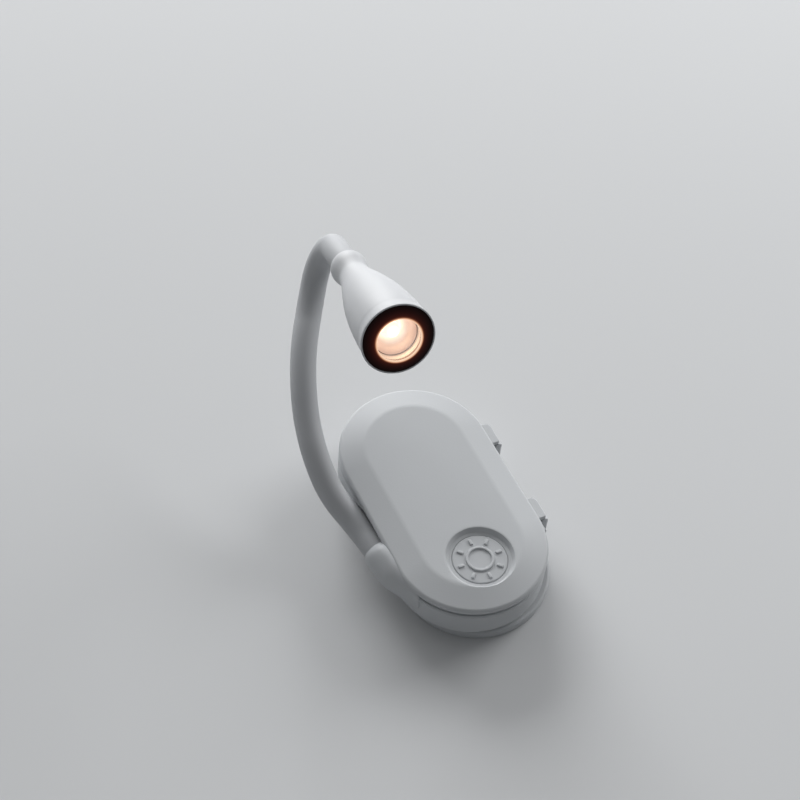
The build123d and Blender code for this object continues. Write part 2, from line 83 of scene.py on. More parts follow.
# %% [markdown]
# ## Sizes read from the part
# The body's plan and the button's place are read from the boxes of the CAD nodes, so that the new
# pieces land on them. The body is a stadium: two half circles joined by straight sides. The
# outlines of the pieces are written out in the cells below, in the part's own millimetres.

# %% Read the body's sizes
front_low, front_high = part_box("front_cover")
body_radius = (front_high.x - front_low.x) / 2
half_straight = (front_high.y - front_low.y) / 2 - body_radius
button_low, button_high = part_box("button")
button_middle = (button_low + button_high) / 2
print("body radius", round(body_radius / mm, 2), "half straight", round(half_straight / mm, 2))

# %% [markdown]
# ## Working as by hand
# Blender's operators act on whatever is selected, so each helper first deselects everything and
# then picks what it needs. These few helpers are the hand tools that the later cells share.

# %% Hand tools


def only(obj):
    """Select one object and nothing else."""
    if bpy.context.mode != "OBJECT":
        bpy.ops.object.mode_set(mode="OBJECT")
    bpy.ops.object.select_all(action="DESELECT")
    obj.select_set(True)
    bpy.context.view_layer.objects.active = obj
    return obj


def edit(obj):
    """Open a mesh in edit mode with nothing selected, in vertex mode."""
    only(obj)
    bpy.ops.object.mode_set(mode="EDIT")
    bpy.ops.mesh.select_mode(type="VERT")
    bpy.ops.mesh.select_all(action="DESELECT")


def pick(obj, wanted):
    """Select the vertices for which wanted(place) is true, in an open mesh."""
    bpy.ops.mesh.select_all(action="DESELECT")
    bpy.ops.object.mode_set(mode="OBJECT")
    for vertex in obj.data.vertices:
        vertex.select = wanted(vertex.co)
    bpy.ops.object.mode_set(mode="EDIT")


def close_mesh(smooth_angle=30):
    """Merge double points, turn faces outward, leave edit mode and shade smooth up to an angle."""
    bpy.ops.mesh.select_all(action="SELECT")
    bpy.ops.mesh.remove_doubles(threshold=0.002 * mm)
    bpy.ops.mesh.normals_make_consistent(inside=False)
    bpy.ops.object.mode_set(mode="OBJECT")
    bpy.ops.object.shade_smooth_by_angle(angle=math.radians(smooth_angle))
    return bpy.context.object


def settle(obj, place=None):
    """Move an object to a place and write that place into its mesh."""
    if place is not None:
        obj.matrix_world = place
    only(obj)
    bpy.ops.object.transform_apply(location=True, rotation=True, scale=True)
    return obj


# %% [markdown]
# ## Turned shapes
# The head, the bezel, the lens and the button are round, and the body is a round shape pulled
# apart in the middle. A round shape can be spun from an outline, or grown ring by ring. Growing
# was chosen: a circle is extruded and scaled to each next station, which a beginner can follow.
# Corners of the outline get arcs here, because moulded edges are never sharp.

# %% Rounded outlines and turned shapes


def rounded(corners, steps=6):
    """An outline of (radius, height) points from corners of (radius, height, arc radius)."""
    outline = []
    for index, (r, z, arc) in enumerate(corners):
        here = Vector((r, z))
        if arc == 0 or index in (0, len(corners) - 1):
            outline.append(here)
            continue
        before = (Vector(corners[index - 1][:2]) - here).normalized()
        after = (Vector(corners[index + 1][:2]) - here).normalized()
        half = before.angle(after) / 2
        reach = arc / math.tan(half)
        middle = here + (before + after).normalized() * arc / math.sin(half)
        start = here + before * reach - middle
        end = here + after * reach - middle
        for step in range(steps + 1):
            share = step / steps
            outline.append(middle + start.slerp(end, share).normalized() * arc)
    return outline


def in_mm(outline):
    """An outline in metres, from one whose numbers are millimetres."""
    return [(r * mm, z * mm) for r, z in outline]


def turn(name, outline, segments=96, cap_start=False, cap_end=False):
    """A circle grown along an outline of (radius, height) points, left open in edit mode."""
    tiny = 0.01 * mm
    (r, z), *rest = [(max(p[0], tiny), p[1]) for p in outline]
    start_fill = "NGON" if cap_start else "NOTHING"
    bpy.ops.object.select_all(action="DESELECT")
    bpy.ops.mesh.primitive_circle_add(
        vertices=segments, radius=r, location=(0, 0, 0), fill_type=start_fill
    )
    piece = bpy.context.object
    piece.name = name
    edit(piece)
    bpy.ops.mesh.select_all(action="SELECT")
    bpy.ops.transform.translate(value=(0, 0, z))
    for r_next, z_next in rest:
        bpy.ops.mesh.extrude_region_move(TRANSFORM_OT_translate={"value": (0, 0, z_next - z)})
        scale = r_next / r
        bpy.ops.transform.resize(value=(scale, scale, 1), center_override=(0, 0, z_next))
        r, z = r_next, z_next
    if cap_end:
        bpy.ops.mesh.edge_face_add()
    return piece


def stretch(piece, segments=96):
    """Pull a turned shape apart along Y, into the stadium of the body."""
    bpy.ops.mesh.select_all(action="SELECT")
    half_step = math.pi / segments
    bpy.ops.transform.rotate(value=half_step, orient_axis="Z", center_override=(0, 0, 0))
    bpy.ops.transform.resize(value=(1 / math.cos(half_step), 1, 1), center_override=(0, 0, 0))
    for side in (-1, 1):
        pick(piece, lambda place: place.y * side > 0)
        bpy.ops.transform.translate(value=(0, side * half_straight, 0))
    return piece


def combine(piece, other, operation):
    """Apply a boolean of two closed meshes to the first, and delete the other."""
    only(piece)
    boolean = piece.modifiers.new("combine", "BOOLEAN")
    boolean.operation = operation
    boolean.solver = "EXACT"
    boolean.object = other
    bpy.ops.object.modifier_apply(modifier=boolean.name)
    bpy.data.objects.remove(other)
    return piece


def cut(piece, cutter):
    """Take one closed mesh away from another."""
    return combine(piece, cutter, "DIFFERENCE")


def weld(piece, other):
    """Join one closed mesh to another as one skin."""
    return combine(piece, other, "UNION")


def flatten_shading(piece):
    """Let large faces shade flat right up to the soft edges beside them."""
    only(piece)
    weighted = piece.modifiers.new("flat_faces", "WEIGHTED_NORMAL")
    weighted.keep_sharp = True
    weighted.weight = 100
    bpy.ops.object.modifier_apply(modifier=weighted.name)
    return piece


# %% [markdown]
# ## Shader sums as Python
# A finish is a sum of small patterns. Blender's shader editor draws each sum as a row of nodes,
# which is hard to read back. Here a socket is wrapped in a small class, so that a plain sum such
# as 0.5 + 0.1 * grain adds its own Math nodes.

# %% Sockets that can be added and multiplied


class Value:
    """One output socket of a material, with the operators that these finishes use."""

    def __init__(self, paint, socket):
        self.paint = paint
        self.socket = socket

    def maths(self, operation, left, right):
        return self.paint.add("ShaderNodeMath", {"operation": operation}, {0: left, 1: right})

    def __add__(self, other):
        return self.maths("ADD", self, other)

    def __radd__(self, other):
        return self.maths("ADD", other, self)

    def __sub__(self, other):
        return self.maths("SUBTRACT", self, other)

    def __mul__(self, other):
        return self.maths("MULTIPLY", self, other)

    def __rmul__(self, other):
        return self.maths("MULTIPLY", other, self)


class Paint:
    """A material with one Principled shader. Constants are set on it by their socket names."""

    def __init__(self, name, **constants):
        self.material = bpy.data.materials.new(name)
        self.material.use_nodes = True
        self.tree = self.material.node_tree
        self.shader = self.tree.nodes["Principled BSDF"]
        for key, value in constants.items():
            self.shader.inputs[key.replace("_", " ")].default_value = value
        self.coords = self.add("ShaderNodeTexCoord", output="Object")

    def add(self, kind, settings=None, inputs=None, output=0):
        """Add a node, make its settings, fill its sockets and give back one of its outputs."""
        node = self.tree.nodes.new(kind)
        for key, value in (settings or {}).items():
            if key == "stops":
                ramp = node.color_ramp
                for stop, (place, colour) in zip((ramp.elements[0], ramp.elements[1]), value):
                    stop.position = place
                    stop.color = (*colour, 1)
                for place, colour in value[2:]:
                    ramp.elements.new(place).color = (*colour, 1)
            else:
                setattr(node, key, value)
        for key, value in (inputs or {}).items():
            if isinstance(value, Value):
                self.tree.links.new(value.socket, node.inputs[key])
            else:
                node.inputs[key].default_value = value
        return Value(self, node.outputs[output])

    def noise(self, size, detail=2.0, along=None):
        """Soft noise between about 0.3 and 0.7, with lumps of a real size in metres."""
        place = along or self.coords
        return self.add(
            "ShaderNodeTexNoise", None, {"Vector": place, "Scale": 1 / size, "Detail": detail}
        )

    def between(self, share, low, high):
        """A colour part of the way from low to high. Sockets 6 and 7 are the mix's two colours."""
        ends = {0: share, 6: (*low, 1), 7: (*high, 1)}
        return self.add("ShaderNodeMix", {"data_type": "RGBA"}, ends, output=2)

    def bump(self, height, depth):
        """Small relief of a real depth in metres."""
        relief = self.add(
            "ShaderNodeBump", None, {"Height": height, "Distance": depth, "Strength": 1.0}
        )
        self.feed("Normal", relief)

    def feed(self, socket, value):
        """Link a value to a socket of the shader."""
        self.tree.links.new(value.socket, self.shader.inputs[socket])


# %% [markdown]
# ## Finishes
# The whole light is one family of plain, light neutral plastic. Real moulded plastic isn't one flat
# colour: the mould's fine spark texture gives a soft grain, and the sheen drifts a little where
# hands touch it. The grain is relief, the drift goes into roughness and a trace of colour.

# %% Moulded plastic and sleeve rubber
cloud_size = 14 * mm


def moulded(name, colour, grain=0.35 * mm, depth=0.012 * mm, rough=0.52, drift=0.03):
    """Fine matt moulded plastic."""
    paint = Paint(name, Specular_IOR_Level=0.4)
    cloud = paint.noise(cloud_size, 3.0)
    fine = paint.noise(grain, 1.5)
    dark = [c * (1 - drift) for c in colour]
    pale = [min(1.0, c * (1 + drift)) for c in colour]
    paint.feed("Base Color", paint.between(cloud, dark, pale))
    # Handling wears the sheen in patches, so the clouds weigh more here than the fine grain
    paint.feed("Roughness", rough - 0.06 + 0.14 * cloud + 0.05 * fine)
    paint.bump(fine, depth)
    return paint


shell_grey = (0.46, 0.475, 0.49)
button_grey = (0.45, 0.465, 0.48)
# Painted shade: the sleeve is the same light grey as the head, but its grey is set darker for the
# shade that the neck stands in
neck_grey_painted_shade = (0.40, 0.41, 0.425)
head_grey = (0.49, 0.50, 0.515)
pad_grey = (0.30, 0.305, 0.31)
body_plastic = moulded("body_plastic", shell_grey)
button_plastic = moulded("button_plastic", button_grey, grain=0.25 * mm, depth=0.008 * mm)
head_plastic = moulded("head_plastic", head_grey, grain=0.22 * mm, depth=0.006 * mm, rough=0.46)
sleeve_rubber = moulded("sleeve_rubber", neck_grey_painted_shade, grain=0.3 * mm, depth=0.006 * mm, rough=0.56)
pad_rubber = moulded("ribbed_rubber", pad_grey, grain=0.2 * mm, depth=0.015 * mm, rough=0.72)
print("plastics", body_plastic.material.name, sleeve_rubber.material.name)

# %% [markdown]
# Metal parts show in the gaps: the coil of the clip's spring, its pin and the screws underneath.
# Drawn wire and turned screws have fine lines along one way, which a stretched noise gives.

# %% Metals, board and cell finishes
tarnish_size = 3 * mm
tarnish_share = 0.82


def metal(name, colour, rough=0.3, line=(0.4 * mm, 0.4 * mm, 4 * mm), depth=0.004 * mm):
    """Bare metal with fine drawn lines, long in one direction."""
    paint = Paint(name, Metallic=1.0)
    stretched = paint.add(
        "ShaderNodeMapping", None, {"Vector": paint.coords, "Scale": [mm / size for size in line]}
    )
    lines = paint.noise(mm, 3.0, along=stretched)
    tarnish = paint.noise(tarnish_size, 2.0)
    dull = [c * tarnish_share for c in colour]
    paint.feed("Base Color", paint.between(tarnish, dull, colour))
    paint.feed("Roughness", rough + 0.22 * lines - 0.08)
    paint.bump(lines, depth)
    return paint


spring_steel = metal("spring_steel", (0.52, 0.52, 0.53), rough=0.28)
screw_steel = metal("screw_steel", (0.58, 0.58, 0.60), rough=0.32, line=(2 * mm, 0.2 * mm, 2 * mm))
cell_steel = metal("cell_steel", (0.72, 0.72, 0.71), rough=0.22)
contact_steel = metal("contact_steel", (0.70, 0.69, 0.66), rough=0.25)
lamp_aluminium = metal("lamp_aluminium", (0.77, 0.78, 0.79), rough=0.35)
circuit_green = moulded("circuit_green", (0.02, 0.12, 0.05), grain=0.5 * mm, rough=0.3)
component_black = moulded("component_black", (0.02, 0.02, 0.022), grain=0.1 * mm, rough=0.6)
switch_black = moulded("switch_black", (0.04, 0.04, 0.042), grain=0.15 * mm, rough=0.5)
board_white = moulded("board_white", (0.8, 0.8, 0.78), grain=0.3 * mm, rough=0.35)
wire_red = moulded("wire_red", (0.35, 0.02, 0.02), grain=0.2 * mm, rough=0.4)
print("metals and boards done")

# %% [markdown]
# ## Neck route
# The neck is the same smooth line as in the CAD part: its points are repeated here. A smooth line
# can be drawn by hand, or be a curve held by control points. A NURBS curve of order 3 was chosen,
# because it passes through the middle of every run, which is where the CAD part has its joints.

# %% Points of the neck and the head's axis
neck_points = [
    Vector(p) * mm
    for p in (
        (-16.5, -4.5, 8.5),
        (-17.5, 2.5, 8.5),
        (-20.5, 10.0, 12.0),
        (-21.0, 17.0, 16.5),
        (-20.0, 24.0, 20.0),
        (-18.0, 30.5, 24.0),
        (-15.0, 37.0, 27.5),
        (-10.5, 44.0, 30.5),
        (-7.0, 48.5, 37.0),
        (-5.0, 46.5, 45.0),
        (-6.6, 39.5, 49.7),
    )
]
head_yaw = math.radians(6.9)
head_pitch = math.radians(21.4)
# In millimetres: from the neck's last point to the head's ball, and how far the sleeve runs on
# behind the first point and past the ball
tail_reach = 6.6
root_depth = 5.9
tip_depth = 4.0
head_axis = Vector(
    (
        -math.sin(head_yaw) * math.cos(head_pitch),
        -math.cos(head_yaw) * math.cos(head_pitch),
        math.sin(head_pitch),
    )
)
neck_out = (neck_points[1] - neck_points[0]).normalized()
tail_point = neck_points[-1] + head_axis * tail_reach * mm
route = [neck_points[0] - neck_out * root_depth * mm, *neck_points, tail_point]
route.append(tail_point + head_axis * tip_depth * mm)
head_turn = head_axis.to_track_quat("Z", "Y").to_matrix().to_4x4()
head_place = Matrix.Translation(tail_point) @ head_turn
print("neck joints", len(route) - 4)

# %% [markdown]
# ## Lamp finishes
# The lamp is lit in the photograph: the chip is white-hot, the cup round it glows warm, and the
# inner edge of the black ring catches a dull red-brown light. A glow can come from light bouncing
# in the cup alone, which renders noisily, or be painted as a soft emission round the head's axis.
# Both are used: the chip gives some real light, and painted colours on the cup and the ring's
# inner edge give the rest evenly.

# %% Bezel, lens, cup and chip finishes


def head_distance(paint):
    """How far a point lies from the head's axis, in metres."""
    turned = paint.add(
        "ShaderNodeMapping",
        {"vector_type": "TEXTURE"},
        {
            "Vector": paint.coords,
            "Location": head_place.translation,
            "Rotation": head_place.to_euler(),
        },
    )
    flat = paint.add(
        "ShaderNodeVectorMath", {"operation": "MULTIPLY"}, {0: turned, 1: (1, 1, 0)}
    )
    return paint.add("ShaderNodeVectorMath", {"operation": "LENGTH"}, {0: flat}, output="Value")


def ring_colours(paint, socket, stops):
    """Colours by distance from the head's axis, as (distance in mm, colour) stops, ends first."""
    reach = 8.0
    across = head_distance(paint) * (1 / (reach * mm))
    ramp = [(distance / reach, colour) for distance, colour in stops]
    paint.feed(socket, paint.add("ShaderNodeValToRGB", {"stops": ramp}, {"Fac": across}))


bezel_black = moulded("satin_black_painted_glow", (0.003, 0.002, 0.002), grain=0.2 * mm, rough=0.55)
bezel_black.shader.inputs["Specular IOR Level"].default_value = 0.03
# Painted glow: the emission paints the lamp's warm light on the ring's inner edge, bright at the lip
# and fading to black outwards
bezel_black.shader.inputs["Emission Strength"].default_value = 1.0
ring_colours(
    bezel_black,
    "Emission Color",
    [
        (4.30, (1.0, 0.74, 0.54)),
        (6.90, (0.002, 0.0006, 0.0005)),
        (4.56, (0.62, 0.30, 0.17)),
        (4.70, (0.12, 0.034, 0.017)),
        (4.95, (0.030, 0.006, 0.004)),
        (5.60, (0.013, 0.0028, 0.0022)),
        (6.30, (0.005, 0.0013, 0.0011)),
    ],
)

reflector_bright = metal("cup_painted_glow_and_shade", (0.92, 0.86, 0.80), rough=0.35, depth=0.002 * mm)
# Painted glow: the emission paints the lamp's warm light on the cup, whitest in the middle and on
# the wall of the opening, with a dark ring of painted shade in the floor of the step
reflector_bright.shader.inputs["Emission Strength"].default_value = 0.5
ring_colours(
    reflector_bright,
    "Emission Color",
    [
        (1.90, (1.0, 0.96, 0.88)),
        (4.39, (1.0, 0.80, 0.66)),
        (2.60, (1.0, 0.88, 0.76)),
        (3.20, (0.66, 0.48, 0.41)),
        (4.20, (0.42, 0.27, 0.23)),
        (4.24, (0.10, 0.040, 0.032)),
        (4.37, (0.10, 0.040, 0.032)),
    ],
)
# The cup's colour holds painted light as well: a warm tint from the lamp, darker towards the step,
# and painted shade, nearly black, in the step's floor
ring_colours(
    reflector_bright,
    "Base Color",
    [
        (2.00, (0.72, 0.62, 0.54)),
        (4.39, (0.86, 0.76, 0.68)),
        (4.20, (0.62, 0.50, 0.44)),
        (4.24, (0.03, 0.018, 0.016)),
        (4.37, (0.03, 0.018, 0.016)),
    ],
)

lens_clear = Paint(
    "clear_lens", Transmission_Weight=1.0, IOR=1.49, Base_Color=(1.0, 0.98, 0.95, 1)
)
lens_clear.feed("Roughness", 0.015 + 0.02 * lens_clear.noise(3 * mm, 2.0))

emitter = Paint("lamp_glow", Emission_Strength=1.5, Roughness=0.4)
warmth = emitter.noise(1.2 * mm, 1.0)
emitter.feed("Base Color", emitter.between(warmth, (1.0, 0.86, 0.55), (1.0, 0.92, 0.70)))
ring_colours(
    emitter,
    "Emission Color",
    [
        (0.0, (1.0, 0.98, 0.92)),
        (1.45, (0.60, 0.48, 0.40)),
        (0.80, (1.0, 0.94, 0.84)),
        (1.20, (0.72, 0.60, 0.50)),
    ],
)
print("lamp finishes done")

# %% [markdown]
# ## Neck sleeve
# The real neck is a bendable metal tube in one smooth, matt sleeve. A single tube can't follow ten
# joints here, so the curve is turned into one mesh and then parted halfway between the joints.
# Modelling one tube first keeps the parts in one smooth line.

# %% Make the sleeve and part it
neck_radius = 2.75 * mm
neck_gap = 0.2 * mm
rings_per_run = 37
sides = 24


def neck_tube(name, points, radius):
    """A tube along a smooth curve of order 3 through the given control points."""
    bpy.ops.object.select_all(action="DESELECT")
    bpy.ops.curve.primitive_nurbs_path_add(location=(0, 0, 0))
    curve = bpy.context.object
    curve.name = name
    spline = curve.data.splines[0]
    spline.points.add(max(0, len(points) - len(spline.points)))
    for point, place in zip(spline.points, points):
        point.co = (*place, 1)
    spline.order_u = 3
    spline.use_endpoint_u = True
    curve.data.resolution_u = rings_per_run
    curve.data.bevel_depth = radius
    # A bevel of resolution n has 2 n + 4 sides
    curve.data.bevel_resolution = sides // 2 - 2
    bpy.ops.object.convert(target="MESH")
    return bpy.context.object


def close_ends(tube):
    """Fill the open rings of a tube."""
    edit(tube)
    bpy.ops.mesh.select_non_manifold(extend=False)
    bpy.ops.mesh.edge_face_add()
    return close_mesh(40)


whole = neck_tube("neck_whole", route, neck_radius)
rings = len(whole.data.vertices) // sides
runs = len(route) - 2
per_run = (rings - 1) // runs
print("sleeve rings", rings, "per run", per_run)

neck_bodies = ["housing"] + [f"neck_{k}" for k in range(1, 10)] + ["head"]
neck_nodes = ["neck_base"] + [f"neck_link_{k}" for k in range(1, 10)] + ["neck_tip"]
sleeves = []
for k in range(1, runs - 1):
    first = 0 if k == 1 else int((k - 0.5) * per_run)
    last = rings - 1 if k == runs - 2 else int((k + 0.5) * per_run)
    part = whole.copy()
    part.data = whole.data.copy()
    part.name = f"neck_sleeve_{k}"
    bpy.context.scene.collection.objects.link(part)
    edit(part)
    bpy.ops.object.mode_set(mode="OBJECT")
    for index, vertex in enumerate(part.data.vertices):
        vertex.select = not first <= index // sides <= last
    bpy.ops.object.mode_set(mode="EDIT")
    bpy.ops.mesh.delete(type="VERT")
    sleeves.append(close_ends(part))
bpy.data.objects.remove(whole)
print("sleeve parts", len(sleeves))

# %% [markdown]
# Each part of the sleeve gets the rubber finish, and the CAD parts of the neck that it covers are
# hidden.

# %% Finish the sleeve parts
half_bend = 2.6 * mm
for k, sleeve in enumerate(sleeves, start=1):
    near, far = route[k], route[k + 1]
    joint = (near + far) / 2
    way = (far - near).normalized()
    neck_bodies[k - 1]
    tuple(joint - way * half_bend)
    tuple(joint + way * half_bend)
    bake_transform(sleeve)
    sleeve.data.materials.clear()
    sleeve.data.materials.append(sleeve_rubber.material)
    covered = [neck_nodes[k]] if k > 1 else [neck_nodes[0], neck_nodes[1]]
    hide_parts(*covered)
print("blended", len(sleeves))

# %% [markdown]
# ## Front cover
# The front cover is one moulding: a skirt that drops into the rear cover, a rim above a shadow
# groove, a wide sloping border and a flat face with a dish for the button. It could be cut from
# a block, but growing the stadium ring by ring gives every edge its own soft arc. A small hood
# is welded on over each knuckle of the clip, clear of the circle in which the knuckle turns.

# %% Grow the front cover
cover_outline = rounded(
    [
        (13.9, 13.1, 0),
        (13.9, 9.9, 0.15),
        (15.1, 9.9, 0.15),
        (15.1, 12.1, 0.1),
        (16.0, 12.1, 0.18),
        (16.0, 13.3, 0.8),
        (10.7, 14.5, 5.0),
        (9.0, 14.5, 0),
    ],
    steps=8,
)
front_cover = turn("front_shell", in_mm(cover_outline), cap_start=True, cap_end=True)
stretch(front_cover)
close_mesh(35)

# A hood is a block over a knuckle, with its outer edge lowered and its corners rounded
knuckle_places = (10.9 * mm, -9.7 * mm)
hood_past_knuckle = 2.25 * mm
hood_x = 16.6 * mm
hood_z = 12.6 * mm
hood_depth = 2.3 * mm
hood_length = 5.4 * mm
hood_height = 0.9 * mm
hood_fall = 0.25 * mm
far_arc = 1.3 * mm
near_arc = 0.5 * mm
top_arc = 0.25 * mm
for knuckle_y in knuckle_places:
    hood_y = knuckle_y + hood_past_knuckle - hood_length / 2
    bpy.ops.object.select_all(action="DESELECT")
    bpy.ops.mesh.primitive_cube_add(size=1, location=(hood_x, hood_y, hood_z))
    hood = bpy.context.object
    hood.scale = (hood_depth, hood_length, hood_height)
    settle(hood)
    edit(hood)
    pick(hood, lambda place: place.x > hood_x and place.z > hood_z)
    bpy.ops.transform.translate(value=(0, 0, -hood_fall))
    pick(hood, lambda place: place.x > hood_x and place.y > hood_y)
    bpy.ops.mesh.bevel(offset=far_arc, segments=7, affect="EDGES")
    pick(hood, lambda place: place.x > hood_x and place.y < hood_y)
    bpy.ops.mesh.bevel(offset=near_arc, segments=4, affect="EDGES")
    pick(hood, lambda place: place.z > hood_z)
    bpy.ops.mesh.bevel(offset=top_arc, segments=3, affect="EDGES")
    close_mesh(35)
    weld(front_cover, hood)

neck_cutter = close_ends(neck_tube("neck_cutter", route[:5], neck_radius + neck_gap))
cut(front_cover, neck_cutter)
dish_outline = rounded(
    [
        (5.74, 8.0, 0),
        (5.74, 13.4, 0.05),
        (6.45, 13.4, 0.3),
        (7.06, 14.42, 0.1),
        (7.7, 14.56, 0),
        (7.7, 16.0, 0),
    ]
)
dish = turn("dish_cutter", in_mm(dish_outline), cap_start=True, cap_end=True)
close_mesh(35)
settle(dish, Matrix.Translation((button_middle.x, button_middle.y, 0)))
cut(front_cover, dish)
edit(front_cover)
close_mesh(35)
flatten_shading(front_cover)
print("front cover", len(front_cover.data.polygons), "faces")


def dress(piece, body, slot, paint, *covered):
    """Give a finished piece its body and finish, and hide the CAD nodes it stands for. The slot is
    not used.
    """
    piece.data.materials.clear()
    piece.data.materials.append(paint.material)
    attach(piece, body)
    if covered:
        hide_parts(*covered)
    return piece


dress(front_cover, "housing", "body_shell", body_plastic, "front_cover")

# %% [markdown]
# ## Neck fairing
# Where the neck leaves the body, a short collar runs back into a smooth swelling that dies away
# along the side, up against the rim. It could be sculpted, but a ring that is extruded back along
# the neck's line and given a new width and height at each step is easier to measure. The first
# rings line the hole for the neck, and a subdivision then rounds the whole cage.

# %% Grow the fairing
fairing_rings = (
    # Distance behind the neck's first point, depth below its line, width beside it, height above it
    (0.90, 2.83, 2.83, 2.83),
    (0.75, 2.83, 2.83, 2.83),
    (-0.15, 2.83, 2.83, 2.83),
    (-0.37, 2.87, 2.87, 2.87),
    (-0.35, 3.04, 3.04, 3.06),
    (-0.18, 3.12, 3.12, 3.20),
    (0.15, 3.20, 3.20, 3.50),
    (0.60, 3.38, 3.35, 3.95),
    (1.35, 3.50, 3.45, 4.45),
    (2.60, 3.55, 3.45, 4.72),
    (4.60, 3.55, 3.42, 4.75),
    (6.60, 3.50, 3.38, 4.70),
    (8.40, 3.15, 2.75, 4.55),
    (10.20, 2.50, 2.05, 4.30),
    (12.20, 1.70, 1.40, 3.90),
    (14.00, 1.05, 0.85, 3.30),
    (15.20, 0.50, 0.40, 2.40),
)
# Subdividing shrinks a ring of eight points by about this factor, so the cage is drawn larger
cage_swell = 1.108
# A point belongs to the ring whose height it meets within this much
slack = 0.01 * mm
fairing = turn(
    "neck_fairing",
    [(depth * cage_swell * mm, back * mm) for back, depth, width, height in fairing_rings],
    segments=8,
    cap_start=True,
    cap_end=True,
)
for back, depth, width, height in fairing_rings:
    pick(fairing, lambda place: abs(place.z - back * mm) < slack)
    bpy.ops.transform.resize(value=(width / depth, 1, 1), center_override=(0, 0, 0))
    pick(fairing, lambda place: abs(place.z - back * mm) < slack and place.y > slack)
    bpy.ops.transform.resize(value=(1, height / depth, 1), center_override=(0, 0, 0))
close_mesh(60)
soften = fairing.modifiers.new("soften", "SUBSURF")
soften.levels = soften.render_levels = 3
bpy.ops.object.modifier_apply(modifier=soften.name)
side_way = Vector((0, 0, 1)).cross(-neck_out)
fairing_turn = Matrix((side_way, Vector((0, 0, 1)), -neck_out)).transposed().to_4x4()
settle(fairing, Matrix.Translation(neck_points[0]) @ fairing_turn)
dress(fairing, "housing", "body_shell", body_plastic, "neck_ferrule")
print("fairing", len(fairing.data.polygons), "faces")

# %% [markdown]
# ## Button
# The button is a round cap in the dish, with a raised sun on it: a ring and eight short rays. The
# cap and the ring are grown as rings, and one ray is shaped from a block, bevelled and copied
# round the middle. The sign is a plain one for light, with no lettering.

# %% Grow the cap, the ring and the rays
cap_outline = rounded(
    [
        (1.5, 11.25, 0),
        (1.5, 12.3, 0.1),
        (6.8, 12.3, 0.1),
        (6.8, 13.0, 0.1),
        (5.7, 13.0, 0),
        (5.7, 13.55, 0.3),
        (3.0, 13.5, 3.0),
        (0.02, 13.5, 0),
    ]
)
button_cap = turn("button_cap", in_mm(cap_outline), cap_start=True, cap_end=True)
close_mesh(35)
ring_outline = rounded(
    [(2.28, 13.4, 0), (2.38, 13.85, 0.2), (2.90, 13.85, 0.2), (3.0, 13.4, 0)], steps=5
)
sun_ring = turn("sun_ring", in_mm(ring_outline), segments=72)
bpy.ops.mesh.select_all(action="DESELECT")
bpy.ops.mesh.select_non_manifold(extend=False)
bpy.ops.mesh.bridge_edge_loops()
close_mesh(35)

ray_count = 8
ray_middle = 4.25 * mm
ray_z = 13.62 * mm
ray_top = 13.84 * mm
ray_size = (1.4 * mm, 0.78 * mm, 0.44 * mm)
ray_taper = (0.88, 0.76, 1)
ray_arc = 0.14 * mm
bpy.ops.object.select_all(action="DESELECT")
bpy.ops.mesh.primitive_cube_add(size=1, location=(ray_middle, 0, ray_z))
ray = bpy.context.object
ray.name = "sun_ray"
ray.scale = ray_size
settle(ray)
edit(ray)
pick(ray, lambda place: place.z > ray_z)
bpy.ops.transform.resize(value=ray_taper, center_override=(ray_middle, 0, ray_top))
bpy.ops.mesh.select_all(action="SELECT")
bpy.ops.mesh.bevel(offset=ray_arc, segments=4, affect="EDGES")
close_mesh(50)
parts = [button_cap, sun_ring]
for k in range(ray_count):
    copy = ray.copy()
    copy.data = ray.data.copy()
    bpy.context.scene.collection.objects.link(copy)
    parts.append(settle(copy, Matrix.Rotation(math.radians(360 / ray_count * k), 4, "Z")))
bpy.data.objects.remove(ray)
only(button_cap)
for part in parts:
    part.select_set(True)
bpy.ops.object.join()
settle(button_cap, Matrix.Translation((button_middle.x, button_middle.y, 0)))
dress(button_cap, "button", "button_plastic", button_plastic, "button")
print("button", len(button_cap.data.polygons), "faces")

# %% [markdown]
# ## Lamp head
# The head is one turned bell: a small ball where the neck goes in, a waist, a long flare and
# a slightly hollow band behind its front edge. Its side is a smooth line through a few measured
# stations, and the wall turns inwards at the front to hold the black bezel.

# %% Grow the bell of the head


def smooth_line(stations, steps=6):
    """Points on a smooth line through stations, with handles set by the stations beside them."""
    line = []
    for index in range(len(stations) - 1):
        here, there = Vector(stations[index]), Vector(stations[index + 1])
        before = Vector(stations[max(index - 1, 0)])
        after = Vector(stations[min(index + 2, len(stations) - 1)])
        reach = (there - here).length
        lead = (there - before).normalized() * reach / 3
        trail = (after - here).normalized() * reach / 3
        for step in range(steps):
            t = step / steps
            line.append(
                here * (1 - t) ** 3
                + (here + lead) * 3 * t * (1 - t) ** 2
                + (there - trail) * 3 * t * t * (1 - t)
                + there * t ** 3
            )
    line.append(Vector(stations[-1]))
    return line


